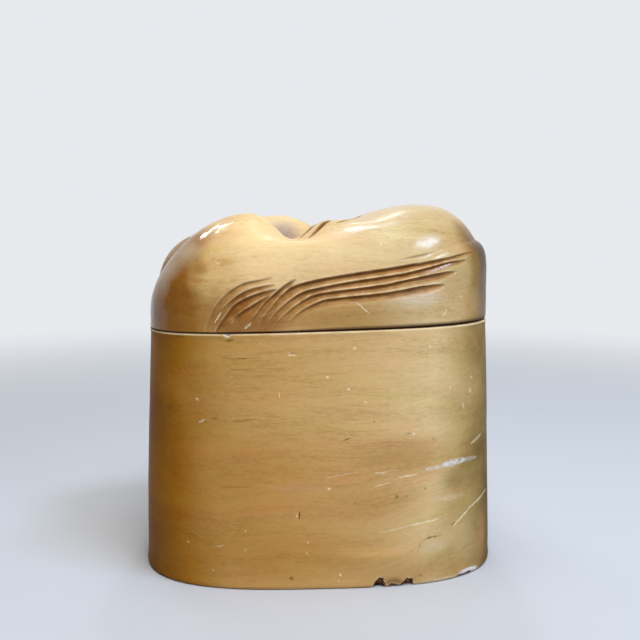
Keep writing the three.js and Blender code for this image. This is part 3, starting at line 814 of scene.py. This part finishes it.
# Marks on the front of the lid: painted glints and rubs on the lower cuts, a scratched line and dents
LID_GLINTS_AND_PALE_LINES = [
    (-43.5, 110.5, -41, 114.5, 0.6, 0.85), (-37, 110.5, -34.5, 113, 0.5, 0.8),
    (-31.5, 108, -29, 110.5, 0.8, 1.0), (-25.5, 113, -19.5, 115.5, 0.8, 0.2),
    (-19.5, 115.5, -14, 121.5, 0.7, 0.2), (-19, 123, -10.5, 127.5, 0.8, 0.5),
    (13, 118.5, 18.5, 114, 0.45, 0.75), (9, 118.5, 13, 118.5, 0.5, 0.6),
    (-43.5, 135, -42, 133.5, 0.5, 0.7), (-42, 133.5, -41.5, 135, 0.45, 0.6),
    (49, 112.5, 51, 115, 0.6, 0.5),
]
PALE_LID_SPOTS = [
    (-45, 138.5, 0.55, 0.6), (24, 141.5, 0.7, 0.6), (-24, 119, 0.6, 0.4), (57, 120, 0.7, 0.4),
]
DARK_LID_SPOTS = [
    (47.5, 147, 0.5, 0.7), (27, 144, 0.5, 0.3),
]

# Marks fade in towards the front between these y
MARKS_FADE_IN = (-18, -26)

# Each wood's shades along x, and patches of other shades: middle, reach, shade and strength, and
# how soft the edge is where it isn't the usual softness
RAMP_END = 80.0
# Towards both ends the shades darken, partly the wood's own tone and partly painted shade where the ends turn
# from the light
BASE_STOPS = [
    (-74, (128, 76, 16)), (-58, (170, 112, 30)), (-37, (198, 150, 84)), (-11, (208, 163, 100)),
    (18, (216, 175, 117)), (45, (220, 187, 135)), (60, (180, 149, 94)), (73, (100, 70, 18)),
]
BASE_PATCHES = [
    ((-8, -50, 50), (70, 60, 24), (190, 132, 60), 0.45),
    ((-66, -24, 44), (20, 60, 34), (160, 100, 4), 0.7),
    ((-34, -44, 32), (48, 60, 36), (176, 114, 30), 0.3),
    ((18, -50, 35), (44, 60, 14), (188, 136, 72), 0.6),
    ((34, -50, 55), (34, 60, 13), (186, 140, 82), 0.75),
    ((62, -44, 14), (14, 60, 16), (206, 178, 128), 0.4),
    ((55, -48, 43), (8, 60, 5.5), (136, 108, 66), 0.55),
    ((70, -40, 15), (5, 40, 14), (190, 140, 80), 0.6),
    ((-4, -52, 14), (66, 40, 24), (182, 126, 54), 0.6),
    ((40, -50, 4), (50, 40, 14), (176, 136, 78), 0.6),
    ((-10.5, -52, 43), (12, 60, 3), (196, 140, 96), 0.6, 0.8),
    ((46, -50, 15.5), (7, 60, 3.5), (206, 184, 142), 0.5, 0.5),
    ((22, -52, 15), (24, 60, 3.5), (232, 180, 112), 0.4),
    ((29, -52, 2), (5, 60, 3), (126, 80, 42), 0.7, 0.7),
    ((52, -50, 0.5), (22, 60, 1.8), (226, 204, 164), 0.6, 0.6),
    ((62.5, -45, 1.6), (6, 60, 1.8), (222, 212, 212), 0.9, 0.4),
]
# The lid too darkens towards both ends, partly its own tone and partly painted shade
LID_STOPS = [
    (-74, (144, 98, 44)), (-60, (144, 88, 18)), (-52, (156, 101, 30)), (-44, (216, 174, 110)),
    (-34, (236, 198, 140)), (-18, (230, 195, 139)), (18, (212, 179, 127)), (42, (200, 170, 118)),
    (56, (188, 156, 104)), (62, (146, 110, 52)), (68, (104, 72, 24)), (73, (56, 31, 0)),
]
LID_PATCHES = [
    ((-30, -50, 112), (60, 40, 16), (172, 116, 46), 0.75),
    ((10, -50, 112), (34, 30, 13), (178, 128, 62), 0.75),
    ((56, -46, 116), (26, 30, 14), (214, 176, 120), 0.5),
    ((-30, -50, 112), (20, 20, 14), (150, 98, 46), 0.8, 0.6),
    # Painted sheen below the right ends of the strands
    ((38, -48, 120), (17, 20, 5.5), (234, 214, 190), 0.5),
    # Paler on the right form's top front, partly a painted sheen
    ((29, -34, 145), (15, 16, 8), (246, 226, 180), 0.4),
    # Painted shade in the valley, darker and greyer
    ((-16, -2, 146), (14, 24, 14), (156, 138, 130), 0.85, 0.8),
    ((-56, -39, 121), (9, 14, 2.5), (140, 84, 22), 0.35),
    ((-50, -40, 131.5), (6, 14, 4.5), (160, 106, 38), 0.7),
    # Painted reflection of a grey surrounding on the lid's left flank, as a greyer tint
    ((-63, -27, 132), (9, 16, 8.5), (188, 166, 130), 0.62),
    ((-56, -30, 138.5), (9, 16, 8.5), (192, 170, 130), 0.62),
    ((-66, -28, 125), (5, 14, 8), (176, 156, 126), 0.5),
    ((-70, -28, 111), (6, 16, 7), (104, 70, 34), 0.5),
    ((-52, -41, 127), (8, 14, 2), (176, 116, 46), 0.6),
    ((-40, -43, 134.5), (8, 14, 2.5), (196, 142, 72), 0.5),
    ((-62, 15, 137), (18, 18, 18), (182, 154, 116), 0.85, 0.8),
]
BOARD_STOPS = [(-60, (186, 144, 90)), (0, (200, 160, 106)), (60, (192, 150, 98))]

# What the shade is multiplied by: in dark and pale fibres, pinker and more olive streaks, and marks
DARK_FIBRE = (0.68, 0.60, 0.48, 1)
PALE_FIBRE = (1.15, 1.21, 1.34, 1)
PINK_STREAK = (1.03, 0.95, 0.96, 1)
OLIVE_STREAK = (0.97, 1.02, 0.90, 1)
DARK_MARK = (0.20, 0.13, 0.10, 1)

# Shades of bare wood, wear and stain, and of painted shade, shadow and highlight
PALE_MARK = colour(252, 234, 194)
KNOCK = colour(232, 208, 160)
SAWN_DARK = colour(172, 132, 84)
SAWN_PALE = colour(205, 168, 118)
SEAM_FACE_SHADE = colour(78, 38, 24)
SCRAPED = colour(226, 226, 220)
RUBBED = colour(232, 208, 176)
BARE_FIBRE = colour(232, 204, 160)
CHIP_BROWN = colour(120, 78, 44)
CHIP_DARK = colour(46, 27, 28)
FRESH_NICK = colour(246, 228, 214)
RIM_WEAR_AND_HIGHLIGHT = colour(242, 214, 166)
DARK_STAIN = colour(144, 88, 24)
PALE_STAIN = colour(179, 124, 64)
DEEP_STAIN_AND_SHADE = colour(128, 74, 20)
WALL_STAIN_AND_SHADOW = colour(86, 40, 4)
CREST_WEAR_AND_HIGHLIGHT = colour(236, 204, 156)
SEAM_SHADOW_EDGE = colour(60, 16, 10)


def new_material(name):
    material = bpy.data.materials.new(name)
    material.use_nodes = True
    return material


class Wood(Nodes):
    """A material of waxed wood with its fibres along X, and its shade and height so far."""

    def __init__(self, name, stops, patches=()):
        self.material = new_material(name)
        super().__init__(self.material.node_tree)
        self.place = self.scaled(self.add("ShaderNodeTexCoord").outputs["Object"], 1 / MM)
        self.flat = self.vector("MULTIPLY", self.place, (1, 0, 1))
        self.x, self.y, self.z = self.parts(self.place)
        self.on_front = self.step(self.y, *MARKS_FADE_IN)
        self.cloud = self.noise(self.place, 0.03, 0.5)
        self.shade = self.ramp_along(stops)
        for middle, reach, tint, strength, *soft in patches:
            self.paint(self.patch(middle, reach, *soft), colour(*tint), strength)
        self.grow_grain()

    def paint(self, amount, tint, strength=1.0):
        """Mix the shade towards a tint, by an amount from 0 to 1 and a strength."""
        if strength != 1.0:
            amount = self.times(amount, strength)
        self.shade = self.mix(amount, self.shade, tint)

    def tinted(self, factors):
        return self.mix(1.0, self.shade, factors, "MULTIPLY")

    def lift(self, amount, height):
        self.height = self.plus(self.height, self.times(amount, height))

    def blotches(self, scale):
        return self.noise(self.place, scale, 0.6)

    def patch(self, middle, reach, soft=0.9):
        """A soft oval round a place, 1 in the middle and 0 outside its reach."""
        away = self.vector("DIVIDE", self.vector("SUBTRACT", self.place, middle), reach)
        return self.step(self.vector("LENGTH", away), 1.0, 1.0 - soft)

    def marks(self, flat_place, lines, spots):
        """The strongest of several marks on the front."""
        total = 0.0
        for from_x, from_z, to_x, to_z, width, strength in lines:
            values = {"Place": flat_place, "From": (from_x, 0, from_z), "To": (to_x, 0, to_z), "Width": width}
            line = self.add("ShaderNodeGroup", values, node_tree=MARK).outputs[0]
            total = self.math("MAXIMUM", total, self.times(line, strength))
        for x, z, width, strength in spots:
            gap = self.vector("DISTANCE", flat_place, (x, 0, z))
            total = self.math("MAXIMUM", total, self.step(gap, width, 0.2 * width, 0.0, strength))
        return self.times(total, self.on_front)

    def ramp_along(self, stops):
        """The shade changes along the block, a little further or less far from place to place."""
        near = self.times(self.x, self.step(self.y, -30, 5, 1.0, 0.82))
        along = self.plus(near, self.swing(self.cloud, 26.0), RAMP_END)
        return self.ramp(self.math("DIVIDE", along, 2 * RAMP_END),
                         [((at + RAMP_END) / (2 * RAMP_END), colour(*tint)) for at, tint in stops])

    def fibre_place(self):
        """Places along the fibres, which climb towards the lower right corner, as they do round a
        fork in the trunk."""
        climb = self.times(self.step(self.x, 12, 80, 0, 20), self.step(self.z, 75, 20))
        wander = self.swing(self.noise(self.place, 0.018, 0.5, 2), 10.0)
        height = self.plus(self.math("SUBTRACT", self.z, climb), wander)
        return self.add("ShaderNodeCombineXYZ", (self.x, self.y, height)).outputs[0]

    def grow_grain(self):
        """Growth rings and fibres, the darker ones also redder, some streaks pinker or more olive."""
        fibre = self.fibre_place()
        bands = self.grain(fibre, (0.012, 0.06, 0.11), 0.55, distortion=0.2)
        streaks = self.grain(fibre, (0.045, 0.3, 0.62), 0.6)
        self.fine = self.grain(fibre, (0.14, 1.2, 2.0), 0.65)
        flecks = self.grain(fibre, (0.4, 0.9, 1.1), 0.6, 2)
        tone = self.plus(self.swing(bands, 1.5), self.swing(streaks, 0.9), self.swing(self.fine, 1.0),
                         self.swing(flecks, 1.0))
        darker, lighter = self.tinted(DARK_FIBRE), self.tinted(PALE_FIBRE)
        self.paint(tone, darker, -1.1)
        self.paint(tone, lighter, 1.1)
        hue = self.grain(fibre, (0.022, 0.08, 0.11), 0.55)
        self.paint(self.step(hue, 0.5, 0.75), self.tinted(PINK_STREAK))
        self.paint(self.step(hue, 0.5, 0.25), self.tinted(OLIVE_STREAK))
        self.height = self.plus(self.swing(self.fine, 0.012), self.swing(streaks, 0.03))

    def scratch_and_glint(self, pale_marks, dark_marks):
        """Pale and dark marks on the front, each kind given as its lines and spots."""
        shake = self.vector("SUBTRACT", self.noise(self.place, 0.7, 0.5, 2, output="Color"), (0.5, 0.5, 0.5))
        flat = self.vector("ADD", self.flat, self.vector("MULTIPLY", shake, (1.2, 0, 1.2)))
        ragged = self.step(self.blotches(1.6), 0.3, 0.6)
        pale = self.times(self.marks(flat, *pale_marks), self.plus(self.times(ragged, 0.6), 0.4))
        # Pale marks, on the lid partly painted glints
        self.paint(pale, PALE_MARK)
        self.lift(pale, -0.15)
        dark = self.times(self.marks(flat, *dark_marks), self.plus(self.times(ragged, 0.5), 0.6))
        self.paint(dark, self.tinted(DARK_MARK))
        self.lift(self.step(dark, 0.4, 0.8), -0.2)

    def knock(self):
        """Small knocks all over, as on any handled box."""
        cells = self.add("ShaderNodeTexVoronoi", {"Vector": self.place, "Scale": 0.085}, feature="F1").outputs
        lucky = self.add("ShaderNodeSeparateColor", (cells["Color"],)).outputs[0]
        hit = self.times(self.step(cells["Distance"], 0.055, 0.02), self.step(lucky, 0.6, 0.8))
        self.paint(hit, KNOCK, 0.3)
        self.lift(hit, -0.06)

    def saw_marks(self):
        return self.grain(self.place, (0.12, 1.1, 0.5), 0.6)

    def sawn(self, saw):
        """Paler, dry wood for the sawn faces and the hollow."""
        return self.mix(0.65, self.shade, self.ramp(saw, [(0.3, SAWN_DARK), (0.7, SAWN_PALE)]))

    def bare_inside(self):
        """Bare wood inside, and painted shade on the faces between base and lid, to darken the seam."""
        inside = self.attribute("inside")
        self.paint(inside, self.sawn(self.saw_marks()))
        # Painted shade on the faces between base and lid, darkening the seam
        self.paint(self.attribute("mating"), SEAM_FACE_SHADE, 0.6)
        return inside

    def roughness(self, least, *more):
        """Roughness from the grain and from pairs of an amount and how much it adds."""
        added = [self.times(amount, most) for amount, most in more]
        return self.plus(self.times(self.fine, 0.10), self.times(self.cloud, 0.14), least, *added)

    def finish(self, roughness, gloss, polish, polish_blur):
        bump = self.add("ShaderNodeBump", {"Distance": MM, "Strength": 1.0, "Height": self.height})
        self.fill(self.tree.nodes["Principled BSDF"], {
            "Base Color": self.shade, "Roughness": roughness, "Specular IOR Level": gloss,
            "Coat Weight": polish, "Coat Roughness": polish_blur, "Normal": bump.outputs[0],
        })
        return self.material


def scrape_base(wood):
    """The whitish scrape and a pale band below it, at the right of the front."""
    scuffed = wood.step(wood.grain(wood.place, (0.22, 1, 0.8), 0.65, 4), 0.2, 0.7)
    scrape = wood.times(wood.marks(wood.flat, SCRAPE_LINES, []), scuffed)
    wood.paint(scrape, SCRAPED, 0.85)
    band = wood.patch((51.5, -48, 35.8), (11, 60, 2.4), 1.0)
    wood.paint(wood.times(band, scuffed), RUBBED, 0.6)
    return scrape


def chip_base(wood):
    """Chips at the foot are bare fibres, brown to near black in blotches where they are deeper, with
    pale rims, and the nick in the rim is fresh."""
    broken = wood.attribute("broken")
    darker_share = wood.step(wood.blotches(0.55), 0.4, 0.6)
    wood.paint(wood.step(broken, 0.0, 0.1, 0.0, 0.5), BARE_FIBRE)
    wood.paint(wood.step(broken, 0.2, 0.6), wood.mix(darker_share, CHIP_BROWN, CHIP_DARK))
    wood.lift(wood.times(broken, wood.noise(wood.place, 1.2, 0.7)), 0.4)
    wood.paint(wood.times(wood.step(broken, 0.05, 0.4), wood.step(wood.z, 90, 100)), FRESH_NICK, 0.85)


def base_material():
    wood = Wood("waxed_base_wood", BASE_STOPS, BASE_PATCHES)
    wood.scratch_and_glint((PALE_BASE_LINES, PALE_BASE_SPOTS), (DARK_BASE_LINES, DARK_BASE_SPOTS))
    wood.knock()
    scrape = scrape_base(wood)
    chip_base(wood)
    # The eased rim is paler: wear, and a painted highlight along it
    wear_and_highlight = wood.step(wood.blotches(0.12), 0.25, 0.75, 0.3, 0.95)
    wood.paint(wood.times(wood.attribute("edge"), wear_and_highlight), RIM_WEAR_AND_HIGHLIGHT)
    inside = wood.bare_inside()
    return wood.finish(wood.roughness(0.28, (scrape, 0.3), (inside, 0.3)), 0.01, 0.10, 0.13)


def stain_cuts_with_painted_light(wood):
    """Stain and painted shade in the cuts, wear and a painted highlight on the crests, and a painted seam
    shadow.
    """
    cut = wood.attribute("cut")
    stain = wood.step(cut, 0.0, 0.45)
    uneven = wood.step(wood.blotches(0.2), 0.35, 0.65)
    wood.paint(stain, wood.mix(uneven, DARK_STAIN, PALE_STAIN), 0.8)
    # Darker deep in the cuts: stain and painted shade
    wood.paint(wood.step(cut, 0.5, 1.0), DEEP_STAIN_AND_SHADE, 0.5)
    # Stain and painted shadow on the steep walls, where the crests shade them
    wood.paint(wood.attribute("wall"), WALL_STAIN_AND_SHADOW, 0.6)
    # Paler along the crests: wear and a painted highlight
    rub_and_glint = wood.step(uneven, 0.0, 1.0, 0.15, 0.6)
    wood.paint(wood.times(wood.attribute("crest"), rub_and_glint), CREST_WEAR_AND_HIGHLIGHT)
    # Painted shadow of the seam along the lid's lower edge
    wood.paint(wood.attribute("edge"), SEAM_SHADOW_EDGE, 0.9)
    return stain


def lid_polish(wood, inside):
    """Thin on the fold before the valley, at the right end and in the cuts, and hardly any inside."""
    fold = wood.patch((-14, -14, 145), (35, 54, 22), 0.45)
    return wood.times(
        wood.step(fold, 0.0, 1.0, 0.58, 0.01),
        wood.step(wood.attribute("edge"), 0.0, 1.0, 1.0, 0.1),
        wood.step(wood.x, 60, 73, 1.0, 0.4),
        wood.step(wood.attribute("wall"), 0.0, 0.6, 1.0, 0.15),
        wood.step(inside, 0.0, 1.0, 1.0, 0.1),
    )


def lid_material():
    wood = Wood("waxed_lid_wood", LID_STOPS, LID_PATCHES)
    wood.scratch_and_glint((LID_GLINTS_AND_PALE_LINES, PALE_LID_SPOTS), ([], DARK_LID_SPOTS))
    wood.knock()
    stain = stain_cuts_with_painted_light(wood)
    inside = wood.bare_inside()
    rough = wood.roughness(0.18, (stain, 0.08), (inside, 0.3))
    return wood.finish(rough, 0.04, lid_polish(wood, inside), wood.step(wood.x, -26, 4, 0.1, 0.21))


def plug_material():
    wood = Wood("plain_plug_wood", BOARD_STOPS)
    wood.knock()
    saw = wood.saw_marks()
    wood.shade = wood.sawn(saw)
    wood.lift(saw, 0.05)
    return wood.finish(wood.plus(wood.times(saw, 0.15), 0.55), 0.2, 0.0, 0.1)


# What the camera and reflections see behind the box
BACKDROP = (0.80, 0.82, 0.85, 1)
WORLD_LIGHT = 0.16
FLOOR_REACH = 6.0


def backdrop_seen(n, direction, edge, soft):
    """1 for the camera everywhere, and for reflections on the backdrop's side of the room. The
    side that the box faces is dim, as a room is behind the camera."""
    path = n.add("ShaderNodeLightPath").outputs
    behind = n.step(n.parts(direction)[1], edge - soft, edge + soft)
    mirrored = n.math("MAXIMUM", path["Is Glossy Ray"], path["Is Transmission Ray"])
    return n.math("MAXIMUM", path["Is Camera Ray"], n.times(mirrored, behind))


def blend_shaders(n, factor, first, second, output):
    blend = n.add("ShaderNodeMixShader", (factor, first.outputs[0], second.outputs[0]))
    n.fill(n.tree.nodes[output], {"Surface": blend.outputs[0]})


def floor_material():
    """Pale paper that fades into the backdrop away from the box."""
    material = new_material("pale_floor")
    n = Nodes(material.node_tree)
    paper = {"Base Color": (0.60, 0.60, 0.61, 1), "Roughness": 0.9, "Specular IOR Level": 0.1}
    shader = n.fill(material.node_tree.nodes["Principled BSDF"], paper)
    glow = n.add("ShaderNodeEmission", {"Color": BACKDROP})
    ground = n.add("ShaderNodeTexCoord").outputs["Object"]
    far = n.step(n.vector("LENGTH", ground), 0.28, 0.9)
    blend_shaders(n, n.times(far, backdrop_seen(n, ground, 0.1, 0.15)), shader, glow, "Material Output")
    return material


def make_floor():
    mesh = bpy.data.meshes.new("floor")
    corners = [(x * FLOOR_REACH, y * FLOOR_REACH, 0) for x, y in ((-1, -1), (1, -1), (1, 1), (-1, 1))]
    mesh.from_pydata(corners, [], [(0, 1, 2, 3)])
    mesh.materials.append(floor_material())
    link("floor", mesh)


def make_world():
    world = bpy.data.worlds.new("studio")
    bpy.context.scene.world = world
    world.use_nodes = True
    n = Nodes(world.node_tree)
    dim = {"Color": (0.93, 0.96, 1.0, 1), "Strength": WORLD_LIGHT}
    light = n.fill(world.node_tree.nodes["Background"], dim)
    pale = n.add("ShaderNodeBackground", {"Color": BACKDROP, "Strength": 1.0})
    seen = backdrop_seen(n, n.add("ShaderNodeTexCoord").outputs["Generated"], 0.2, 0.04)
    blend_shaders(n, seen, light, pale, "World Output")


# Lamps: direction from the box as an angle round it from the front towards the right, and an
# angle up; distance, width and height of the panel in metres, power in watts, and colour. The
# soft ones only spread light, and the clear ones also show as highlights in the polish.
SOFT_LAMPS = {
    "front": (10, 60, 1.1, 0.6, 0.5, 5.9, (1.0, 0.965, 0.93)),
    "overhead": (0, 88, 1.1, 0.7, 0.5, 3.4, (1.0, 1.0, 1.0)),
    "overhead_back": (176, 58, 1.2, 0.6, 0.3, 1.4, (0.97, 0.99, 1.0)),
}
CLEAR_LAMPS = {
    "window_left_back": (-146, 43.8, 1.1, 0.40, 0.04, 1.0, (0.88, 0.97, 1.0)),
    "skylight": (177, 64, 1.1, 0.08, 0.12, 1.05, (0.58, 0.80, 1.0)),
    "far_skylight": (174.5, 45, 1.1, 0.07, 0.06, 0.25, (0.85, 0.93, 1.0)),
    "window_right": (56, 61, 1.1, 0.30, 0.22, 5.0, (0.52, 0.71, 1.0)),
    "low_window": (37, 12, 1.1, 0.34, 0.28, 3.6, (0.67, 0.83, 1.0)),
}
TARGET = (0.0, 0.0, 0.10)


def make_lamps():
    for name, (turn, up, distance, width, height, power, tint) in {**SOFT_LAMPS, **CLEAR_LAMPS}.items():
        data = bpy.data.lights.new(name, "AREA")
        data.shape = "ELLIPSE"
        data.size = width
        data.size_y = height
        data.energy = power
        data.color = tint
        lamp = link(name, data)
        turn, up = math.radians(turn), math.radians(up)
        lamp.location = (
            TARGET[0] + distance * math.sin(turn) * math.cos(up),
            TARGET[1] - distance * math.cos(turn) * math.cos(up),
            TARGET[2] + distance * math.sin(up),
        )
        lamp.rotation_euler = (math.radians(90) - up, 0, turn)
        lamp.visible_glossy = name in CLEAR_LAMPS


# The photograph's camera: place in millimetres, degrees down and round, lens and its film's width
CAMERA_PLACE = (-18.1, -367.5, 148.1)
CAMERA_DOWN = 6.574
CAMERA_ROUND = -2.988
CAMERA_LENS = 45.0
CAMERA_FILM = 36.0


def make_camera():
    data = bpy.data.cameras.new("camera")
    data.lens = CAMERA_LENS
    data.sensor_width = CAMERA_FILM
    data.clip_start = 0.01
    camera = link("camera", data)
    camera.location = [value * MM for value in CAMERA_PLACE]
    camera.rotation_euler = (math.radians(90 - CAMERA_DOWN), 0, math.radians(CAMERA_ROUND))
    bpy.context.scene.camera = camera


def dress(piece, body, node, material):
    piece.data.materials.append(material)
    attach(piece, body)
    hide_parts(node)


make_camera()
make_world()
make_lamps()
make_floor()
dress(make_base(), "base", "base", base_material())
dress(make_lid(), "lid", "lid", lid_material())
dress(make_plug(), "lid", "lid_plug", plug_material())
bpy.context.scene.view_settings.view_transform = "Standard"
